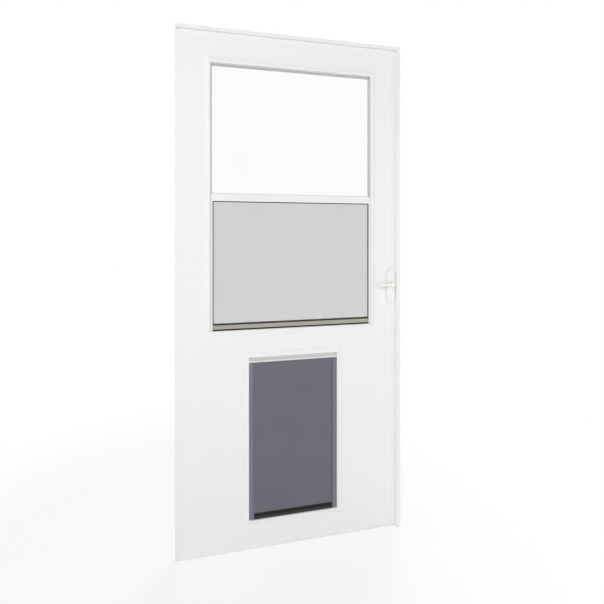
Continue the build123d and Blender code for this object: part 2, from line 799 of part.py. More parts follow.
with BuildPart() as tubular_latch:
    with BuildSketch(Plane(origin=(core_right, 0, spindle_z), x_dir=(0, 1, 0), z_dir=(1, 0, 0))):
        Rectangle(latch_plate_width, latch_plate_height)
    extrude(amount=edge_channel_wall)
    with BuildSketch(Plane(origin=(core_right, 0, spindle_z), x_dir=(0, 1, 0), z_dir=(-1, 0, 0))):
        Circle(latch_tube_radius)
    extrude(amount=core_right - spindle_x + latch_tube_radius)
    with BuildSketch(Plane(origin=(spindle_x, -leaf_thickness, spindle_z), z_dir=(0, 1, 0))):
        Circle(latch_cam_radius)
    extrude(amount=2 * leaf_thickness, mode=Mode.SUBTRACT)
    with BuildSketch(Plane(origin=(leaf_right, 0, spindle_z), x_dir=(0, 1, 0), z_dir=(-1, 0, 0))):
        Rectangle(latch_bolt_width + 2 * latch_bolt_clearance, latch_bolt_height + 2 * latch_bolt_clearance)
    extrude(amount=latch_bolt_width, mode=Mode.SUBTRACT)
write(tubular_latch, "tubular_latch")

write(
    block(
        (leaf_right - latch_bolt_width, leaf_right),
        (-latch_bolt_width / 2, latch_bolt_width / 2),
        (spindle_z - latch_bolt_height / 2, spindle_z + latch_bolt_height / 2),
    ),
    "latch_bolt",
)
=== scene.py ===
# %% [markdown]
# # A white storm door with a window above and a pet door below
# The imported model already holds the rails, the leaf, the panes, the pet door, the hinges and the
# levers at their real size. This lesson dresses it: it adds the small pieces that a maker would buy
# in, such as screws, screen cloth and seals, and gives every surface a finish of its own.
# Everything is in metres, with +Z up, +X from the hinges to the latch, and -Y towards the room.

# %% Load the frame
import bpy
import bmesh
import json
import math
import numpy as np
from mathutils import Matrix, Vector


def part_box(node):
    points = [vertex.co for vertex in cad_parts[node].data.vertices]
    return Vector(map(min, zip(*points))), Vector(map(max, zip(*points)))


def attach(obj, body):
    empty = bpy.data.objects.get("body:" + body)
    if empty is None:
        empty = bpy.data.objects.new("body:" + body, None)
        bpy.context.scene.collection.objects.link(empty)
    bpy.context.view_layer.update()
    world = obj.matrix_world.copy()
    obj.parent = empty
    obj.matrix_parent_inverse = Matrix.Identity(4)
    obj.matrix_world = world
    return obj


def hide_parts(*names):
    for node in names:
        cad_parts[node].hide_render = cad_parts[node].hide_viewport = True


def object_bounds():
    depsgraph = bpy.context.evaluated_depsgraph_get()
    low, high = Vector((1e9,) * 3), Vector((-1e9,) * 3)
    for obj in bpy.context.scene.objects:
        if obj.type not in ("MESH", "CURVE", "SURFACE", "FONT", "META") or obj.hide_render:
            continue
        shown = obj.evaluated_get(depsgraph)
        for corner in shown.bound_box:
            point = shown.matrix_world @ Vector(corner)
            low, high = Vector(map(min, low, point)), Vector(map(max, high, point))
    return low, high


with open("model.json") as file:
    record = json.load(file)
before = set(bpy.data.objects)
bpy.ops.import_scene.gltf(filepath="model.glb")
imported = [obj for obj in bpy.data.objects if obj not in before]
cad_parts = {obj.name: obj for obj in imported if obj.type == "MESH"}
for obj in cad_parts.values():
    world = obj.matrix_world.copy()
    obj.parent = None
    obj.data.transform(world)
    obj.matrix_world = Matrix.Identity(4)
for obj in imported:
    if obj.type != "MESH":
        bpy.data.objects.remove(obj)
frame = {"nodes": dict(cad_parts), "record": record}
cad_box = [list(corner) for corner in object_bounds()]
nodes = frame["nodes"]
slot_of = {row["node"]: row["material_slot"] for row in frame["record"]["subparts"]}
print(len(nodes), "solids, from", cad_box[0], "to", cad_box[1])

LEAF = "door_leaf"
RAILS = "mounting_frame"
FLAP = "pet_flap_panel"

# %% [markdown]
# ## The camera
# The photograph was taken from the room with a wide lens, close to the hinge side. The door's
# upright edges are parallel in it, so the camera looked level and its frame was shifted down
# instead of being tilted. Its place and heading were worked out from the eight long edges of the
# door.

# %% Camera
FRAME_PIXELS = 604
HORIZON_PIXEL = 235.1
CAMERA_LENS = 23.5
CAMERA_PLACE = (0.1505, -1.569, 1.236)
CAMERA_HEADING = (0.2135, 0.977)

camera_data = bpy.data.cameras.new("camera")
camera_data.sensor_width = 36.0
camera_data.lens = CAMERA_LENS
camera_data.shift_y = -(FRAME_PIXELS / 2 - HORIZON_PIXEL) / FRAME_PIXELS
camera_data.clip_start = 0.05
camera = bpy.data.objects.new("camera", camera_data)
bpy.context.scene.collection.objects.link(camera)
camera.location = CAMERA_PLACE
camera.rotation_euler = (math.radians(90.0), 0.0, -math.atan2(*CAMERA_HEADING))
bpy.context.scene.camera = camera
print("the camera is", -CAMERA_PLACE[1], "m in front of the leaf")

# %% [markdown]
# ## Light
# A pale door shows its mouldings only by soft shade. A picture of a real room would tint it and
# clutter its gloss, so much of the light comes from a plain white room. The room shows as full
# white to the camera, and also in the glass and in gloss, while it lights the object at a lower
# strength. A Light Path node tells these kinds of ray apart.

# %% White room
ROOM_STRENGTH = 0.36
WHITE = (1.0, 1.0, 1.0, 1.0)


def seen_directly(tree):
    """1 for rays that the eye, a gloss or a pane sends, else 0: the largest of three ray kinds."""
    path = tree.nodes.new("ShaderNodeLightPath")
    total = path.outputs["Is Camera Ray"]
    for kind in ("Is Glossy Ray", "Is Transmission Ray"):
        largest = tree.nodes.new("ShaderNodeMath")
        largest.operation = "MAXIMUM"
        tree.links.new(total, largest.inputs[0])
        tree.links.new(path.outputs[kind], largest.inputs[1])
        total = largest.outputs[0]
    return total


world = bpy.data.worlds.new("white room")
world.use_nodes = True
bpy.context.scene.world = world
world_tree = world.node_tree
world_tree.nodes.clear()
room_light = world_tree.nodes.new("ShaderNodeBackground")
room_light.inputs["Color"].default_value = WHITE
room_light.inputs["Strength"].default_value = ROOM_STRENGTH
room_seen = world_tree.nodes.new("ShaderNodeBackground")
room_seen.inputs["Color"].default_value = WHITE
room_mix = world_tree.nodes.new("ShaderNodeMixShader")
world_out = world_tree.nodes.new("ShaderNodeOutputWorld")
world_tree.links.new(seen_directly(world_tree), room_mix.inputs["Fac"])
world_tree.links.new(room_light.outputs[0], room_mix.inputs[1])
world_tree.links.new(room_seen.outputs[0], room_mix.inputs[2])
world_tree.links.new(room_mix.outputs[0], world_out.inputs["Surface"])
print("the room lights the door at", ROOM_STRENGTH, "of the white that it shows")

# %% [markdown]
# The rest comes mostly from one lamp far off on the left and above the head, like a tall window. It
# draws the short shade to the right of the mouldings and under the lever. Two weak fills even out
# the height, and a lamp behind the door lights its exterior.

# %% Lamps


def lamp(name, place, target, size, power):
    """A square soft lamp at a place, turned to face a target."""
    data = bpy.data.lights.new(name, "AREA")
    data.size = size
    data.energy = power
    made = bpy.data.objects.new(name, data)
    bpy.context.scene.collection.objects.link(made)
    made.location = place
    made.visible_camera = False
    made.visible_transmission = False
    towards = np.array(target) - np.array(place)
    across = math.hypot(towards[0], towards[1])
    turn = math.atan2(-towards[0], towards[1])
    made.rotation_euler = (math.atan2(across, -towards[2]), 0.0, turn)
    print(name, "shines at", power, "W from", round(float(np.linalg.norm(towards)), 2), "m")


middle_x = (cad_box[0][0] + cad_box[1][0]) / 2
middle_z = (cad_box[0][2] + cad_box[1][2]) / 2
middle = (middle_x, 0.0, middle_z)
lamp("window light", place=(-2.7, -6.0, 4.1), target=middle, size=1.2, power=152.0)
lamp("exterior light", place=(2.4, 3.0, 2.8), target=middle, size=2.4, power=100.0)
for name, place, power in (
    ("right fill", (2.5, -2.2, 1.2), 14.0),
    ("left fill", (-1.15, -2.5, 1.1), 12.5),
):
    lamp(name, place, target=(middle_x, 0.0, place[2]), size=1.6, power=power)
bpy.context.scene.view_settings.view_transform = "Standard"

# %% [markdown]
# ## The floor
# The door stands on a plain pale floor. Near the door it is partly an ordinary matt surface that
# takes the shadow, and further out it fades into the white of the room, so no horizon cuts across
# the picture. A curved backdrop would do that too, but its bend would show from other sides. Where
# other rays meet it, it is matt everywhere. Colours are written as a display shows them, from 0 to
# 255, and one function turns them into the linear light that a shader needs.

# %% Floor
FLOOR_HALF = 14.0
FADE_START = 0.7
FADE_END = 1.5
WHITE_SHARE_NEAR = 0.78


def linear(red, green, blue):
    """0 to 255 values as linear light: c / 12.92 when dark, else ((c + 0.055) / 1.055)^2.4."""
    shares = np.array([red, green, blue]) / 255.0
    light = np.where(shares <= 0.04045, shares / 12.92, ((shares + 0.055) / 1.055) ** 2.4)
    return (*light.tolist(), 1.0)


floor_mesh = bpy.data.meshes.new("floor")
floor_corners = np.array([[-1, -1, 0], [1, -1, 0], [1, 1, 0], [-1, 1, 0]]) * FLOOR_HALF
floor_mesh.from_pydata(floor_corners.tolist(), [], [(0, 1, 2, 3)])
floor = bpy.data.objects.new("floor", floor_mesh)
bpy.context.scene.collection.objects.link(floor)

floor_finish = bpy.data.materials.new("pale floor")
floor_finish.use_nodes = True
floor_tree = floor_finish.node_tree
floor_tree.nodes.clear()
matt = floor_tree.nodes.new("ShaderNodeBsdfDiffuse")
matt.inputs["Color"].default_value = linear(246, 246, 246)
glow = floor_tree.nodes.new("ShaderNodeEmission")
floor_mix = floor_tree.nodes.new("ShaderNodeMixShader")
floor_out = floor_tree.nodes.new("ShaderNodeOutputMaterial")
floor_place = floor_tree.nodes.new("ShaderNodeTexCoord")
floor_reach = floor_tree.nodes.new("ShaderNodeVectorMath")
floor_reach.operation = "LENGTH"
floor_fade = floor_tree.nodes.new("ShaderNodeMapRange")
floor_fade.interpolation_type = "SMOOTHSTEP"
floor_fade.inputs["From Min"].default_value = FADE_START
floor_fade.inputs["From Max"].default_value = FADE_END
floor_fade.inputs["To Min"].default_value = WHITE_SHARE_NEAR
floor_seen = floor_tree.nodes.new("ShaderNodeMath")
floor_seen.operation = "MULTIPLY"
floor_tree.links.new(floor_place.outputs["Object"], floor_reach.inputs[0])
floor_tree.links.new(floor_reach.outputs["Value"], floor_fade.inputs["Value"])
floor_tree.links.new(floor_fade.outputs["Result"], floor_seen.inputs[0])
floor_tree.links.new(seen_directly(floor_tree), floor_seen.inputs[1])
floor_tree.links.new(floor_seen.outputs[0], floor_mix.inputs["Fac"])
floor_tree.links.new(matt.outputs[0], floor_mix.inputs[1])
floor_tree.links.new(glow.outputs[0], floor_mix.inputs[2])
floor_tree.links.new(floor_mix.outputs[0], floor_out.inputs["Surface"])
floor_mesh.materials.append(floor_finish)
print("the floor reaches", FLOOR_HALF, "m each way")

# %% [markdown]
# ## Effects that several finishes share
# Paint, vinyl and metal differ in colour and gloss, but all of them drift a little in tone, carry a
# fine grain, shine or wear along their edges and gather dust on what faces up. Each of these
# effects is a node group, built once and placed in each finish with its own values.

# %% Helpers for node groups


def effect(name, inputs, outputs):
    """A shader node group. inputs are (name, kind, value) and outputs are (name, kind)."""
    tree = bpy.data.node_groups.new(name, "ShaderNodeTree")
    for label, kind, value in inputs:
        socket = tree.interface.new_socket(label, in_out="INPUT", socket_type=f"NodeSocket{kind}")
        socket.default_value = value
    for label, kind in outputs:
        tree.interface.new_socket(label, in_out="OUTPUT", socket_type=f"NodeSocket{kind}")
    return tree, tree.nodes.new("NodeGroupInput"), tree.nodes.new("NodeGroupOutput")


def feed(tree, socket, operand):
    """Sets a socket to a plain value, or links it where the operand is another node's socket."""
    if isinstance(operand, (int, float, tuple)):
        socket.default_value = operand
    else:
        tree.links.new(operand, socket)


def arithmetic(tree, operation, first, second):
    """One Math node, whose operands are sockets or plain numbers."""
    node = tree.nodes.new("ShaderNodeMath")
    node.operation = operation
    feed(tree, node.inputs[0], first)
    feed(tree, node.inputs[1], second)
    return node.outputs[0]


def ranged(tree, value, low, high, start=0.0, end=1.0):
    """A Map Range node that takes value from start..end to low..high, in a straight line."""
    node = tree.nodes.new("ShaderNodeMapRange")
    operands = {"Value": value, "From Min": start, "From Max": end, "To Min": low, "To Max": high}
    for label, operand in operands.items():
        feed(tree, node.inputs[label], operand)
    return node.outputs["Result"]


def blended(tree, share, first, second):
    """A colour Mix node: first * (1 - share) + second * share."""
    node = tree.nodes.new("ShaderNodeMix")
    node.data_type = "RGBA"
    for index, operand in ((0, share), (6, first), (7, second)):
        feed(tree, node.inputs[index], operand)
    return node.outputs[2]


# %% [markdown]
# The drift of a colour is a slow noise over the piece that makes it a few percent darker. The grain
# is a finer noise that can be stretched along one direction, as brushed metal or sawn wood is.

# %% Colour drift and grain
drift, drift_in, drift_out = effect(
    "colour drift",
    [("Colour", "Color", (0.8, 0.8, 0.8, 1.0)), ("Amount", "Float", 0.03), ("Scale", "Float", 6.0)],
    [("Colour", "Color")],
)
drift_place = drift.nodes.new("ShaderNodeTexCoord")
drift_noise = drift.nodes.new("ShaderNodeTexNoise")
drift_noise.inputs["Detail"].default_value = 3.0
drift.links.new(drift_place.outputs["Object"], drift_noise.inputs["Vector"])
drift.links.new(drift_in.outputs["Scale"], drift_noise.inputs["Scale"])
drift_low = arithmetic(drift, "SUBTRACT", 1.0, drift_in.outputs["Amount"])
drift_share = ranged(drift, drift_noise.outputs["Fac"], low=drift_low, high=1.0, start=0.3, end=0.7)
drift_scaled = drift.nodes.new("ShaderNodeVectorMath")
drift_scaled.operation = "SCALE"
drift.links.new(drift_in.outputs["Colour"], drift_scaled.inputs[0])
drift.links.new(drift_share, drift_scaled.inputs["Scale"])
drift.links.new(drift_scaled.outputs[0], drift_out.inputs["Colour"])

grain, grain_in, grain_out = effect(
    "surface grain",
    [("Scale", "Float", 400.0), ("Stretch", "Vector", (1.0, 1.0, 1.0)), ("Depth", "Float", 3.0)],
    [("Value", "Float")],
)
grain_place = grain.nodes.new("ShaderNodeTexCoord")
grain_stretch = grain.nodes.new("ShaderNodeVectorMath")
grain_stretch.operation = "MULTIPLY"
grain_noise = grain.nodes.new("ShaderNodeTexNoise")
grain.links.new(grain_place.outputs["Object"], grain_stretch.inputs[0])
grain.links.new(grain_in.outputs["Stretch"], grain_stretch.inputs[1])
grain.links.new(grain_stretch.outputs[0], grain_noise.inputs["Vector"])
grain.links.new(grain_in.outputs["Scale"], grain_noise.inputs["Scale"])
grain.links.new(grain_in.outputs["Depth"], grain_noise.inputs["Detail"])
grain.links.new(grain_noise.outputs["Fac"], grain_out.inputs["Value"])
print("two groups with", len(drift.nodes), "and", len(grain.nodes), "nodes")

# %% [markdown]
# An extruded or folded edge is never knife sharp. A Bevel node gives the normal that a small round
# would have, which catches the light, and how far it turns from the flat normal tells where an edge
# is, so the same group also puts out a mask for wear. Dust lies on what faces up, in patches.

# %% Soft edges and dust
BEVEL_SAMPLES = 4
DUST_SCALE = 45.0
DUST_DETAIL = 5.0

edges, edges_in, edges_out = effect(
    "soft edges", [("Radius", "Float", 0.0008)], [("Normal", "Vector"), ("Edge", "Float")]
)
edges_bevel = edges.nodes.new("ShaderNodeBevel")
edges_bevel.samples = BEVEL_SAMPLES
edges_flat = edges.nodes.new("ShaderNodeNewGeometry")
edges_turn = edges.nodes.new("ShaderNodeVectorMath")
edges_turn.operation = "DOT_PRODUCT"
edges.links.new(edges_in.outputs["Radius"], edges_bevel.inputs["Radius"])
edges.links.new(edges_bevel.outputs[0], edges_turn.inputs[0])
edges.links.new(edges_flat.outputs["Normal"], edges_turn.inputs[1])
edges_mask = ranged(edges, edges_turn.outputs["Value"], low=1.0, high=0.0, start=0.75, end=0.98)
edges.links.new(edges_mask, edges_out.inputs["Edge"])
edges.links.new(edges_bevel.outputs[0], edges_out.inputs["Normal"])

dust, dust_in, dust_out = effect("settled dust", [("Amount", "Float", 0.2)], [("Mask", "Float")])
dust_flat = dust.nodes.new("ShaderNodeNewGeometry")
dust_split = dust.nodes.new("ShaderNodeSeparateXYZ")
dust_place = dust.nodes.new("ShaderNodeTexCoord")
dust_noise = dust.nodes.new("ShaderNodeTexNoise")
dust_noise.inputs["Scale"].default_value = DUST_SCALE
dust_noise.inputs["Detail"].default_value = DUST_DETAIL
dust.links.new(dust_flat.outputs["Normal"], dust_split.inputs[0])
dust.links.new(dust_place.outputs["Object"], dust_noise.inputs["Vector"])
dust_up = ranged(dust, dust_split.outputs["Z"], low=0.0, high=1.0, start=0.2, end=0.9)
dust_patch = ranged(dust, dust_noise.outputs["Fac"], low=0.2, high=1.0, start=0.35, end=0.65)
dust_share = arithmetic(dust, "MULTIPLY", dust_up, dust_patch)
dust_mask = arithmetic(dust, "MULTIPLY", dust_share, dust_in.outputs["Amount"])
dust.links.new(dust_mask, dust_out.inputs["Mask"])
print("node groups:", [tree.name for tree in bpy.data.node_groups])

# %% [markdown]
# ## Finishes
# One function lays the shared effects over a Principled shader, because the white paint, the vinyl
# and the seals are built the same way. The finish's own colour, gloss, grain and wear are its
# arguments. Each finish is named after the material slot that it is for.

# %% One opaque finish
DUST_COLOUR = linear(196, 190, 178)
ALL_WAYS = (1.0, 1.0, 1.0)
finishes = {}


def placed(tree, group, **values):
    """One node group in a material, with plain values on its sockets."""
    node = tree.nodes.new("ShaderNodeGroup")
    node.node_tree = group
    for label, value in values.items():
        node.inputs[label].default_value = value
    return node


def empty_finish(name):
    """A material with only a Principled shader, as (material, tree, shader)."""
    made = bpy.data.materials.new(name)
    made.use_nodes = True
    tree = made.node_tree
    tree.nodes.clear()
    shader = tree.nodes.new("ShaderNodeBsdfPrincipled")
    output = tree.nodes.new("ShaderNodeOutputMaterial")
    tree.links.new(shader.outputs["BSDF"], output.inputs["Surface"])
    return made, tree, shader


def coated(name, colour, gloss, tone=0.03, tone_scale=6.0, grain_scale=500.0, along=ALL_WAYS,
           relief=0.00003, edge=0.0008, worn=None, wear=0.25, dusty=0.12, metal=0.0, sheen=0.5):
    """An opaque finish: colour drifts by tone, then turns to worn at edges and to dust on top.

    The grain, stretched along a direction, takes the roughness from the first to the second gloss
    and raises a bump of relief. sheen is the plain specular level, which is low on dull rubber.
    """
    made, tree, shader = empty_finish(name)
    tone_node = placed(tree, drift, Colour=colour, Amount=tone, Scale=tone_scale)
    grain_node = placed(tree, grain, Scale=grain_scale, Stretch=along)
    edge_node = placed(tree, edges, Radius=edge)
    dust_node = placed(tree, dust, Amount=dusty)
    shade = tone_node.outputs["Colour"]
    if worn is not None:
        share = arithmetic(tree, "MULTIPLY", edge_node.outputs["Edge"], wear)
        shade = blended(tree, share, shade, worn)
    shade = blended(tree, dust_node.outputs["Mask"], shade, DUST_COLOUR)
    tree.links.new(shade, shader.inputs["Base Color"])
    rough = ranged(tree, grain_node.outputs["Value"], *gloss, start=0.3, end=0.7)
    tree.links.new(rough, shader.inputs["Roughness"])
    bump = tree.nodes.new("ShaderNodeBump")
    bump.inputs["Distance"].default_value = relief
    tree.links.new(grain_node.outputs["Value"], bump.inputs["Height"])
    tree.links.new(edge_node.outputs["Normal"], bump.inputs["Normal"])
    tree.links.new(bump.outputs["Normal"], shader.inputs["Normal"])
    shader.inputs["Metallic"].default_value = metal
    shader.inputs["Specular IOR Level"].default_value = sheen
    return made


# %% [markdown]
# The leaf and its rails are enamelled white. Enamel flows as it is baked, so it has a faint orange
# peel and a soft shine, and it is a little darker where hands and brooms rub its edges. The lever
# set has a smoother, creamier enamel than the sheet metal.

# %% White enamels and vinyl
finishes["white_skin"] = coated(
    "enamel on sheet metal", linear(246, 246, 246), (0.36, 0.46), tone=0.012, tone_scale=2.5,
    grain_scale=420.0, relief=0.00004, worn=linear(214, 213, 210), wear=0.2,
)
finishes["white_aluminium"] = coated(
    "enamel on extrusions", linear(245, 245, 245), (0.32, 0.42), tone=0.015, tone_scale=9.0,
    grain_scale=600.0, along=(1.0, 1.0, 0.25), worn=linear(206, 206, 204), wear=0.3,
)
finishes["white_vinyl"] = coated(
    "moulded white vinyl", linear(246, 246, 246), (0.42, 0.55), tone=0.015, tone_scale=12.0,
    grain_scale=900.0, relief=0.00005, worn=linear(220, 219, 214), wear=0.25,
)
finishes["hinge_metal"] = coated(
    "enamel on hinge leaves", linear(243, 243, 242), (0.3, 0.4), tone=0.02, tone_scale=20.0,
    grain_scale=700.0, edge=0.0006, worn=linear(170, 168, 164), wear=0.5,
)
finishes["handle_enamel"] = coated(
    "cream enamel on the lever set", linear(247, 245, 242), (0.2, 0.3), tone=0.015,
    tone_scale=30.0, grain_scale=300.0, relief=0.00002, edge=0.0012,
    worn=linear(216, 211, 200), wear=0.3, dusty=0.06,
)
print("white finishes:", list(finishes))

# %% [markdown]
# The pet door has the only dark surfaces. Its flap is a flexible slate grey vinyl that is matt and
# slightly mottled, it runs between blue-grey strips, and its lower edge carries a black magnet bar.
# Rubber and pile scatter light far more than they mirror it.

# %% Flap, strips and pile
finishes["flap_vinyl"] = coated(
    "slate flap vinyl", linear(105, 103, 113), (0.5, 0.68), tone=0.07, tone_scale=7.0,
    grain_scale=650.0, relief=0.00012, edge=0.0006,
    worn=linear(139, 138, 146), wear=0.3, dusty=0.06,
)
finishes["side_strip_vinyl"] = coated(
    "blue-grey strip vinyl", linear(116, 120, 132), (0.38, 0.5), tone=0.04, tone_scale=10.0,
    grain_scale=500.0, along=(1.0, 1.0, 0.08), relief=0.00006,
    worn=linear(156, 160, 168), wear=0.35, dusty=0.3,
)
finishes["threshold_vinyl"] = coated(
    "brown-grey threshold vinyl", linear(56, 53, 46), (0.45, 0.62), tone=0.08, tone_scale=20.0,
    grain_scale=500.0, along=(0.1, 1.0, 1.0), relief=0.0001,
    worn=linear(92, 87, 76), wear=0.3, dusty=0.2, sheen=0.3,
)
finishes["black_vinyl"] = coated(
    "black magnet vinyl", linear(30, 30, 26), (0.45, 0.62), tone=0.12, tone_scale=25.0,
    grain_scale=500.0, relief=0.0001, worn=linear(70, 68, 60), wear=0.3, dusty=0.08, sheen=0.2,
)
finishes["black_pile"] = coated(
    "charcoal pile", linear(97, 97, 105), (0.8, 0.95), tone=0.25, tone_scale=160.0,
    grain_scale=2600.0, along=(0.2, 1.0, 1.0), relief=0.0004, dusty=0.3,
)

# %% [markdown]
# The window has a soft white seal, a rail at the foot of its sash whose warm grey is painted shade
# on a white rail, and screen cloth whose yarn is coated in a dull grey. The grain of the seal and
# the rail runs along them, as extrusion leaves it.

# %% Seal, sash rail and screen
finishes["pale_seal"] = coated(
    "soft white seal", linear(243, 243, 241), (0.5, 0.65), tone=0.03, tone_scale=10.0,
    grain_scale=700.0, along=(1.0, 1.0, 0.3), relief=0.00008,
    worn=linear(206, 205, 200), wear=0.3, dusty=0.2,
)
# The warm grey of the sash rail is painted shade: the rail is white like the other bars.
finishes["sash_taupe"] = coated(
    "warm grey enamel on the sash rail", linear(172, 168, 157), (0.34, 0.46), tone=0.03,
    tone_scale=8.0, grain_scale=600.0, along=(0.2, 1.0, 1.0),
    worn=linear(200, 194, 184), wear=0.35, dusty=0.25,
)
finishes["screen_mesh"] = coated(
    "screen threads", linear(92, 96, 100), (0.55, 0.75), tone=0.1, tone_scale=40.0,
    grain_scale=3000.0, relief=0.00003, edge=0.0001, dusty=0.1,
)
print(len(finishes), "finishes so far")

# %% [markdown]
# Metals are brushed or plated. The clamp bar over the flap is satin aluminium, brushed along its
# length, and the latch, its strike and the hinge pins are bright zinc, which shows fine lines from
# rolling. The core between the skins is sawn timber, whose grain runs up the door.

# %% Metals and timber
finishes["clamp_aluminium"] = coated(
    "satin clamp aluminium", linear(206, 205, 203), (0.38, 0.52), tone=0.04, tone_scale=14.0,
    grain_scale=1400.0, along=(0.02, 1.0, 1.0), relief=0.00004,
    worn=linear(230, 229, 225), wear=0.4, metal=0.3,
)
finishes["latch_steel"] = coated(
    "zinc plated latch", linear(190, 192, 194), (0.24, 0.4), tone=0.06, tone_scale=60.0,
    grain_scale=1200.0, along=(1.0, 1.0, 0.05), relief=0.00003,
    worn=linear(214, 214, 212), wear=0.5, metal=0.9,
)
finishes["pin_steel"] = coated(
    "zinc plated pins", linear(188, 189, 190), (0.22, 0.36), tone=0.06, tone_scale=60.0,
    grain_scale=1500.0, along=(1.0, 1.0, 0.1), relief=0.00002,
    worn=linear(214, 214, 212), wear=0.5, metal=0.9,
)
finishes["timber_core"] = coated(
    "sawn timber core", linear(196, 166, 124), (0.55, 0.8), tone=0.2, tone_scale=18.0,
    grain_scale=260.0, along=(1.0, 1.0, 0.04), relief=0.0002,
    worn=linear(166, 134, 94), wear=0.4, dusty=0.2,
)

# %% [markdown]
# The panes are clear tempered glass, a little green in the depth of their edges. A clean pane still
# has faint smears, so its roughness drifts between polished and just less than that.

# %% Clear glass
GLASS_TINT = (0.955, 0.978, 0.97, 1.0)
SMEAR_ROUGHNESS = 0.03


def clear_glass():
    """Glass that passes light, with a colour and a roughness that drift slowly over the pane."""
    made, tree, shader = empty_finish("clear tempered glass")
    tone_node = placed(tree, drift, Colour=GLASS_TINT, Amount=0.015, Scale=3.0)
    smear_node = placed(tree, grain, Scale=9.0, Stretch=(1.0, 1.0, 0.35), Depth=5.0)
    tree.links.new(tone_node.outputs["Colour"], shader.inputs["Base Color"])
    smears = smear_node.outputs["Value"]
    rough = ranged(tree, smears, low=0.0, high=SMEAR_ROUGHNESS, start=0.45, end=0.75)
    tree.links.new(rough, shader.inputs["Roughness"])
    shader.inputs["Transmission Weight"].default_value = 1.0
    shader.inputs["IOR"].default_value = 1.45
    return made


finishes["clear_glass"] = clear_glass()
for node_name, node in nodes.items():
    for place in node.material_slots:
        place.material = finishes[slot_of[node_name]]
print(len(finishes), "finishes over", len(nodes), "solids")

# %% [markdown]
# ## How a new piece is made
# A piece is an array of points and an array of faces that index them. The faces of a grid follow
# from its number of rows and columns alone, so one function gives them for every surface here, open
# or closed round in either direction. Two more copy a set of faces and join several pieces into
# one.

# %% Mesh helpers


def grid_faces(rows, columns, round_rows=False, round_columns=False):
    """Faces (i, j), (i, j + 1), (i + 1, j + 1), (i + 1, j) of a grid, round the ends if asked."""
    i = np.arange(rows if round_rows else rows - 1)[:, None]
    j = np.arange(columns if round_columns else columns - 1)[None, :]
    next_i = (i + 1) % rows
    next_j = (j + 1) % columns
    ring = ((i, j), (i, next_j), (next_i, next_j), (next_i, j))
    corners = [row * columns + column + 0 * (i + j) for row, column in ring]
    return np.stack(corners, axis=-1).reshape(-1, 4)


def repeated(faces, corners, copies):
    """The faces of one shape for all its copies: copy n has n times the shape's corners added."""
    return (faces[None] + corners * np.arange(copies)[:, None, None]).reshape(-1, faces.shape[1])


def joined(parts):
    """Several (points, faces) pairs as one pair."""
    starts = np.cumsum([0] + [len(points) for points, _ in parts[:-1]])
    points = np.concatenate([points for points, _ in parts])
    return points, np.concatenate([faces + start for start, (_, faces) in zip(starts, parts)])


def make_piece(name, points, faces, body, slot, smooth=True, split_angle=35.0):
    """One finished object that rides on a body, with merged seams and faces outwards."""
    mesh = bpy.data.meshes.new(name)
    mesh.from_pydata(points.reshape(-1, 3).tolist(), [], faces.tolist())
    work = bmesh.new()
    work.from_mesh(mesh)
    bmesh.ops.remove_doubles(work, verts=work.verts, dist=1e-6)
    bmesh.ops.recalc_face_normals(work, faces=work.faces)
    work.to_mesh(mesh)
    work.free()
    mesh.polygons.foreach_set("use_smooth", np.full(len(mesh.polygons), smooth))
    mesh.set_sharp_from_angle(angle=math.radians(split_angle))
    mesh.materials.append(finishes[slot])
    made = bpy.data.objects.new(name, mesh)
    bpy.context.scene.collection.objects.link(made)
    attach(made, body)
    print(name, "has", len(mesh.polygons), "faces")
    return made


# %% [markdown]
# ## The insect screen
# Insect screen is woven from coated glass yarn, about sixteen threads to the inch. A see-through
# picture of a weave would be lost in the exported model, so each thread is laid as a thin
# four-sided bar: the upright threads in one layer and the level threads in the next, just touching.
# Together they dim what is behind, as in the photograph.

# %% Screen threads
THREAD_PITCH = 0.0016
THREAD_HALF = 0.00017


def thread_layer(across_low, across_high, long_low, long_high, depth):
    """Bars along the third axis, evenly spaced on the first, of section |a| + |b| = THREAD_HALF."""
    count = int((across_high - across_low) / THREAD_PITCH)
    places = np.linspace(across_low, across_high, count + 2)[1:-1]
    diamond = THREAD_HALF * np.array([[1, 0], [0, 1], [-1, 0], [0, -1]])
    points = np.zeros((count, 2, 4, 3))
    points[..., 0] = places[:, None, None] + diamond[None, None, :, 0]
    points[..., 1] = depth + diamond[None, None, :, 1]
    points[..., 2] = np.array([long_low, long_high])[None, :, None]
    bar = np.concatenate([grid_faces(2, 4, round_columns=True), [[0, 1, 2, 3], [4, 5, 6, 7]]])
    return points.reshape(-1, 3), repeated(bar, 8, count)


def screen_threads():
    """Two crossed layers of threads in the place of the solid screen."""
    low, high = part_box("insect_screen")
    depth = (low[1] + high[1]) / 2
    upright = thread_layer(low[0], high[0], low[2], high[2], depth - THREAD_HALF)
    level, level_faces = thread_layer(low[2], high[2], low[0], high[0], depth + THREAD_HALF)
    level = level[:, [2, 1, 0]]
    threads = joined([upright, (level, level_faces)])
    made = make_piece("screen_threads", *threads, LEAF, "screen_mesh", smooth=False)
    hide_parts("insect_screen")


screen_threads()

# %% [markdown]
# ## Cords and beads round the panes
# The screen cloth is held by a thin rubber cord pressed into a groove all round its frame, and each
# pane sits in a soft bead. Curves with a bevel would give both, but twist at the corners. Here each
# is one small section carried round a rectangle. At a corner the section is cut on the mitre, so a
# point that lies some way inwards moves in along both sides at once.

# %% Sections round a rectangle


def round_section(radius, sides=10):
    """A circle: inward = radius * cos(t) and outward = radius * sin(t)."""
    turn = np.linspace(0.0, 2.0 * math.pi, sides, endpoint=False)
    return np.stack([radius * np.cos(turn), radius * np.sin(turn)], axis=-1)


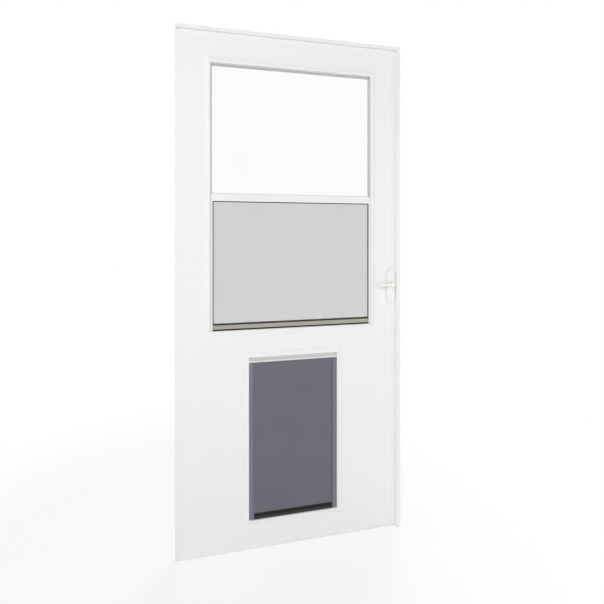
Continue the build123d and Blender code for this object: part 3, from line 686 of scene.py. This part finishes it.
def bead_section(width, height, lip=0.45):
    """A bead that is height * (lip + (1 - lip) * sin(pi * share)) high, and closed on the pane."""
    share = np.linspace(0.0, 1.0, 7)
    rise = height * (lip + (1.0 - lip) * np.sin(math.pi * share)) * (share < 1.0)
    return np.concatenate([[[0.0, 0.0]], np.stack([share * width, rise], axis=-1)])


def carried_round(rectangle, section, depth, facing):
    """section's (inward, outward) points at each corner of a rectangle (x0, x1, z0, z1), mitred."""
    x0, x1, z0, z1 = rectangle
    signs = np.array([[1, 1], [-1, 1], [-1, -1], [1, -1]])
    corners = np.array([[x0, z0], [x1, z0], [x1, z1], [x0, z1]])
    points = np.zeros((4, len(section), 3))
    points[..., 0] = corners[:, None, 0] + signs[:, None, 0] * section[None, :, 0]
    points[..., 1] = depth + facing * section[None, :, 1]
    points[..., 2] = corners[:, None, 1] + signs[:, None, 1] * section[None, :, 0]
    return points.reshape(-1, 3), grid_faces(4, len(section), round_rows=True, round_columns=True)


def front_of(low, high, inset=0.0):
    """A box seen from the room, as the rectangle (x0, x1, z0, z1), with its sides moved inwards."""
    return low[0] + inset, high[0] - inset, low[2] + inset, high[2] - inset


# %% [markdown]
# The cord lies in its groove outside the cloth. The beads lie on both faces of each pane, where the
# pane leaves the bars that hold it: the track covers round the upper pane, and the sash round the
# lower one.

# %% Screen cord
SPLINE_RADIUS = 0.0018
SPLINE_GROOVE = 0.004
SPLINE_SINK = 0.0004

_, screen_frame_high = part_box("screen_frame")
spline_rectangle = front_of(*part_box("insect_screen"), inset=-SPLINE_GROOVE)
spline_depth = screen_frame_high[1] - SPLINE_SINK
make_piece(
    "screen_spline",
    *carried_round(spline_rectangle, round_section(SPLINE_RADIUS), spline_depth, 1),
    LEAF, "black_vinyl",
)

# %% Pane beads
BEAD_WIDTH = 0.0035
BEAD_HEIGHT = 0.0016
TRACK_REACH = 0.0062


def pane_beads(rectangle, low, high):
    """The bead section carried round a rectangle on both faces of the pane from low to high."""
    section = bead_section(BEAD_WIDTH, BEAD_HEIGHT)
    faces = ((low[1], -1), (high[1], 1))
    return joined([carried_round(rectangle, section, depth, facing) for depth, facing in faces])


upper_low, upper_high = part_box("upper_glass")
lower_low, lower_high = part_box("lower_glass")
_, meeting_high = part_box("meeting_rail")
track_left, track_right, _, track_top = front_of(upper_low, upper_high, inset=TRACK_REACH)
upper_rectangle = (track_left, track_right, meeting_high[2], track_top)
make_piece(
    "upper_pane_beads", *pane_beads(upper_rectangle, upper_low, upper_high), LEAF, "pale_seal"
)
make_piece(
    "lower_pane_beads", *pane_beads(front_of(lower_low, lower_high), lower_low, lower_high),
    LEAF, "threshold_vinyl",
)

# %% [markdown]
# Two more strips draw the dark lines along the foot of the lower sash, partly real seals and partly
# painted shade: a broad dark gasket where the pane stands on its grey rail, wide enough to paint
# the shade in that joint as well, and a black bulb seal where the rail meets the sill, which also
# paints the shade of the gap there. Each is D shaped, half an ellipse on a flat back, because such
# seals are extruded and cut to length.

# %% Sash gasket and foot seal, with painted shade
GASKET_AND_SHADE_HEIGHT = 0.0075
GASKET_RISE = 0.0024
SEAL_AND_SHADE_SPAN = (0.0035, 0.0115)
SEAL_RISE = 0.0022


def strip_along_x(x_low, x_high, z_low, z_high, face, rise):
    """A D strip: outward rise * sin(t), (1 - cos(t)) / 2 of the way up, with t from 0 to pi."""
    turn = np.linspace(0.0, math.pi, 8)
    points = np.zeros((2, 8, 3))
    points[..., 0] = np.array([x_low, x_high])[:, None]
    points[..., 1] = face - rise * np.sin(turn)
    points[..., 2] = z_low + (z_high - z_low) * (1.0 - np.cos(turn)) / 2.0
    end = np.array([[0, 1, 2, 3], [0, 3, 4, 5], [0, 5, 6, 7]])
    sides = grid_faces(2, 8, round_columns=True)
    return points.reshape(-1, 3), np.concatenate([sides, end, end + 8])


foot_low, foot_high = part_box("sash_bottom_rail")
foot_x = (foot_low[0], foot_high[0])
gasket_and_shade_z = (foot_high[2], foot_high[2] + GASKET_AND_SHADE_HEIGHT)
# The broad dark gasket strip is partly painted shade along the foot of the pane.
make_piece(
    "sash_gasket",
    *strip_along_x(*foot_x, *gasket_and_shade_z, lower_low[1], GASKET_RISE), LEAF, "threshold_vinyl",
)
# The black foot seal is partly painted shade of the gap between the rail and the sill.
seal_and_shade_z = (foot_low[2] + SEAL_AND_SHADE_SPAN[0], foot_low[2] + SEAL_AND_SHADE_SPAN[1])
make_piece(
    "sash_foot_seal",
    *strip_along_x(*foot_x, *seal_and_shade_z, foot_low[1], SEAL_RISE), LEAF, "black_vinyl",
)

# %% [markdown]
# The clamp bar over the flap has a rounded nose along its lower edge, in shade below. It is the
# same D strip, in a lighter copy of the bar's aluminium: a painted highlight along the nose.

# %% Clamp nose
NOSE_HEIGHT = 0.0088
NOSE_RISE = 0.0028

bar_low, bar_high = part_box("flap_clamp_bar")
nose_z = (bar_low[2], bar_low[2] + NOSE_HEIGHT)
nose = make_piece(
    "clamp_nose",
    *strip_along_x(bar_low[0], bar_high[0], *nose_z, bar_low[1], NOSE_RISE),
    LEAF, "clamp_aluminium",
)
# The lighter colour of the nose is a painted highlight, a lit copy of the clamp aluminium.
nose.data.materials[0] = coated(
    "polished clamp nose", linear(226, 225, 222), (0.32, 0.45), tone=0.03, tone_scale=14.0,
    grain_scale=1400.0, along=(0.02, 1.0, 1.0), relief=0.00003,
    worn=linear(234, 233, 230), wear=0.3, metal=0.3,
)

# %% [markdown]
# ## Screws
# Screws tell the size of everything round them. A screw head is a shallow dome turned about its
# axis. Cutting the driver's cross out of it with a Boolean would leave ragged faces on so small a
# piece, so the cross is where the dome's height is lowered, deepest at the centre. All the heads of
# one kind are one piece: the same grid of points is added to each head's place.

# %% Screw heads
HEAD_SINK = 0.0002
CROSS_ARM = 0.14
CROSS_REACH = 0.62
CROSS_SLOPE = 2.5
CROSS_DEPTH = 0.9


def screw_heads(places, axis, radius, rise):
    """Domes at places, facing along axis: height = rise * (1 - r^2 / 2R^2), less a fading cross.

    The arms are as wide as CROSS_ARM of the radius and end at CROSS_REACH of it. The last ring is
    sunk by HEAD_SINK, and a strip of faces closes the back.
    """
    rings = np.linspace(0.0, 1.0, 9)[:, None] * radius
    turn = np.linspace(0.0, 2.0 * math.pi, 32, endpoint=False)[None, :]
    across = rings * np.cos(turn)
    along = rings * np.sin(turn)
    height = rise * (1.0 - 0.5 * (rings / radius) ** 2) + 0.0 * turn
    arm = np.minimum(np.abs(across), np.abs(along)) < CROSS_ARM * radius
    cross = arm * np.clip(1.0 - rings / (CROSS_REACH * radius), 0.0, 1.0)
    height = height - CROSS_DEPTH * rise * np.minimum(cross * CROSS_SLOPE, 1.0)
    steps = turn.shape[1]
    rim = np.stack([across[-1], along[-1], np.full(steps, -HEAD_SINK)], axis=-1)
    cap = np.concatenate([np.stack([across, along, height], axis=-1), rim[None]])
    direction = np.array(axis, dtype=float)
    side = np.cross(direction, [0.0, 0.0, 1.0] if abs(direction[2]) < 0.5 else [0.0, 1.0, 0.0])
    up = np.cross(side, direction)
    shape = (cap[..., 0:1] * side + cap[..., 1:2] * up + cap[..., 2:3] * direction).reshape(-1, 3)
    ring = np.arange(steps) + (len(cap) - 1) * steps
    back = ring[::-1]
    half = steps // 2
    closing = np.stack([ring[:half - 1], ring[1:half], back[1:half], back[:half - 1]], axis=-1)
    faces = np.concatenate([grid_faces(len(cap), steps, round_columns=True), closing])
    points = np.array(places, dtype=float)[:, None, :] + shape[None]
    return points.reshape(-1, 3), repeated(faces, len(shape), len(places))


# %% [markdown]
# Each hinge has four screws through its leaf into the door, in two staggered rows, and three
# through its web into the mounting rail.

# %% Hinge screws
HINGE_PLATE = 0.002
LEAF_HOLES = ((-0.036, 0.010), (-0.013, 0.022), (0.013, 0.010), (0.036, 0.022))
WEB_HOLES = (-0.032, 0.0, 0.032)
WEB_WALL = 0.002
WEB_SHIFT = 0.007

plate_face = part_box("exterior_skin")[1][1] + HINGE_PLATE
hinge_places = []
web_places = []
for name in ("bottom", "middle", "top"):
    low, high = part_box(f"{name}_hinge_door_leaf")
    centre = (low[2] + high[2]) / 2
    hinge_places += [(high[0] - inset, plate_face, centre + step) for step, inset in LEAF_HOLES]
    web_low, web_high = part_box(f"{name}_hinge_frame_leaf")
    web_depth = (web_low[1] + web_high[1]) / 2 - WEB_SHIFT
    web_places += [(web_low[0] + WEB_WALL, web_depth, centre + step) for step in WEB_HOLES]
hinge_screws = screw_heads(hinge_places, (0, 1, 0), radius=0.0042, rise=0.0011)
make_piece("hinge_screws", *hinge_screws, LEAF, "pin_steel")
web_screws = screw_heads(web_places, (1, 0, 0), radius=0.004, rise=0.001)
make_piece("hinge_rail_screws", *web_screws, RAILS, "pin_steel")

# %% [markdown]
# The mounting rails are screwed to the casing through their webs, four screws on each side and two
# above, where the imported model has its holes. Each mount of the record is a pair of holes.

# %% Rail screws
RAIL_WALL = 0.002

rail_heads = []
for row in frame["record"]["mounts"]:
    if row["kind"] != "bolt_pattern":
        continue
    centre = np.array(row["pos_m"])
    outwards = np.array(row["axis"])
    run = np.array([1, 0, 0]) if abs(outwards[2]) > 0.5 else np.array([0, 0, 1])
    gap = next(value for key, value in row["dims"].items() if key.startswith("spacing")) / 1000.0
    places = [centre - outwards * RAIL_WALL + run * gap * half for half in (-0.5, 0.5)]
    rail_heads.append(screw_heads(places, -outwards, radius=0.0045, rise=0.0012))
make_piece("rail_screws", *joined(rail_heads), RAILS, "pin_steel")

# %% [markdown]
# The latch and its strike have two smaller screws each, above and below the bolt, and two more hold
# the inner plate of the lever set.

# %% Latch, strike and plate screws
LATCH_STEP = 0.021
STRIKE_STEP = 0.026
PLATE_INSET = 0.014

latch_low, latch_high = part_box("tubular_latch")
strike_low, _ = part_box("strike_plate")
latch_middle = (latch_low[2] + latch_high[2]) / 2
latch_places = [(latch_high[0], 0.0, latch_middle + step) for step in (-LATCH_STEP, LATCH_STEP)]
strike_places = [(strike_low[0], 0.0, latch_middle + step) for step in (-STRIKE_STEP, STRIKE_STEP)]
latch_screws = screw_heads(latch_places, (1, 0, 0), radius=0.0032, rise=0.0007)
make_piece("latch_screws", *latch_screws, LEAF, "latch_steel")
strike_screws = screw_heads(strike_places, (-1, 0, 0), radius=0.0034, rise=0.0008)
make_piece("strike_screws", *strike_screws, RAILS, "latch_steel")

plate_low, plate_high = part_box("interior_escutcheon")
plate_x = (plate_low[0] + plate_high[0]) / 2
plate_heights = (plate_low[2] + PLATE_INSET, plate_high[2] - PLATE_INSET)
plate_places = [(plate_x, plate_low[1], height) for height in plate_heights]
plate_screws = screw_heads(plate_places, (0, -1, 0), radius=0.0032, rise=0.0006)
make_piece("plate_screws", *plate_screws, LEAF, "handle_enamel")

# %% [markdown]
# ## The flap
# The flap is one sheet of soft vinyl with a rounded rim. A simulated cloth would fold, which such a
# thick sheet doesn't, while a stiff flat plate would look like metal, so its faces are a grid whose
# depth waves slightly between the side strips, and whose thickness falls to nothing on a quarter
# circle at the rim, which is what rounds it.

# %% Flap panel
FLAP_COLUMNS = 44
FLAP_ROWS = 70
FLAP_RIM = 0.0013
FLAP_SLACK = 0.0006
BROAD_WAVE = 0.00018
SIDE_WAVE = 0.0001


def edge_spaced(count, length, rim):
    """Places from 0 to length: rim * (1 - cos(t)) over the rim at each end, and even between."""
    near = rim * (1.0 - np.cos(np.linspace(0.0, math.pi / 2.0, 6)))
    between = np.linspace(rim, length - rim, count)[1:-1]
    return np.concatenate([near, between, (length - near)[::-1]])


def flap_wave(x, z, width, height):
    """A broad sine that leans with height, and a sine three times as fast, both 0 at the sides."""
    broad = np.sin(math.pi * x / width)
    leaning = BROAD_WAVE * broad * np.sin(2.6 * math.pi * z / height + 0.8)
    return leaning + SIDE_WAVE * broad * np.sin(3.0 * math.pi * x / width)


def soft_panel(low, high, thickness, rim):
    """plane +- thickness / 2 * sqrt(1 - (1 - d / rim)^2) + wave, where d is the way to the edge."""
    wide = edge_spaced(FLAP_COLUMNS, high[0] - low[0], rim)
    tall = edge_spaced(FLAP_ROWS, high[2] - low[2], rim)
    across = np.minimum(wide, wide[-1] - wide)[None, :]
    along = np.minimum(tall, tall[-1] - tall)[:, None]
    way = np.clip(np.minimum(across, along) / rim, 0.0, 1.0)
    half = thickness / 2.0 * np.sqrt(np.clip(1.0 - (1.0 - way) ** 2, 0.0, 1.0))
    wave = flap_wave(wide[None, :], tall[:, None], wide[-1], tall[-1]) * (way >= 1.0)
    layers = []
    for sign in (-1.0, 1.0):
        points = np.zeros((len(tall), len(wide), 3))
        points[..., 0] = low[0] + wide[None, :]
        points[..., 1] = (low[1] + high[1]) / 2 + sign * half + wave
        points[..., 2] = low[2] + tall[:, None]
        layers.append((points.reshape(-1, 3), grid_faces(len(tall), len(wide))))
    return joined(layers)


flap_low, flap_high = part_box("pet_flap")
flap_thickness = flap_high[1] - flap_low[1] - FLAP_SLACK
flap_panel = make_piece(
    "flap_panel", *soft_panel(flap_low, flap_high, flap_thickness, FLAP_RIM),
    FLAP, "flap_vinyl", split_angle=60.0,
)
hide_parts("pet_flap")

# %% [markdown]
# ## The pile beside the flap
# A strip of pile closes the gap at each side of the flap. Hair would be lost in the exported model,
# and pile stands in rows of tufts, so each strip is a thin closed band whose two faces ripple with
# the pitch of the tufts and whose free edge is uneven. The band is a closed curve of twelve points,
# drawn anew at four heights in each tuft.

# %% Pile strips
TUFT_PITCH = 0.0024
TUFT_ROWS = 4
TUFT_HALF = 0.0005
TUFT_RIPPLE = 0.0002
TUFT_JITTER = 0.00025
PILE_GAP = 0.0002
BAND = 12


def pile_strip(x_fixed, x_free, depth, z_low, z_high, seed):
    """An oval band: half depth is a cosine of height over the pitch, the free edge has a jitter."""
    rows = int((z_high - z_low) / TUFT_PITCH) * TUFT_ROWS
    z = np.linspace(z_low, z_high, rows)[:, None]
    turn = np.linspace(0.0, 2.0 * math.pi, BAND, endpoint=False)[None, :]
    jitter = np.random.default_rng(seed).uniform(0.0, TUFT_JITTER, rows)[:, None]
    reach = (x_free - x_fixed) * (0.5 + 0.5 * np.cos(turn))
    ripple = TUFT_HALF + TUFT_RIPPLE * np.cos(2.0 * math.pi * z / TUFT_PITCH)
    points = np.zeros((rows, BAND, 3))
    points[..., 0] = x_fixed + reach * (1.0 - jitter / abs(x_free - x_fixed))
    points[..., 1] = depth + ripple * np.sin(turn)
    points[..., 2] = z
    second = np.arange(1, BAND - 1, 2)
    end = np.stack([0 * second, second, second + 1, second + 2], axis=-1)
    sides = grid_faces(rows, BAND, round_columns=True)
    return points.reshape(-1, 3), np.concatenate([sides, end, end + (rows - 1) * BAND])


pile_low, pile_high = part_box("flap_side_brushes")
pile_place = ((pile_low[1] + pile_high[1]) / 2, pile_low[2], pile_high[2])
pile_width = flap_low[0] - PILE_GAP - pile_low[0]
strips = [
    pile_strip(pile_low[0], pile_low[0] + pile_width, *pile_place, seed=3),
    pile_strip(pile_high[0], pile_high[0] - pile_width, *pile_place, seed=4),
]
pile = make_piece("pile_strips", *joined(strips), LEAF, "black_pile")
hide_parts("flap_side_brushes")
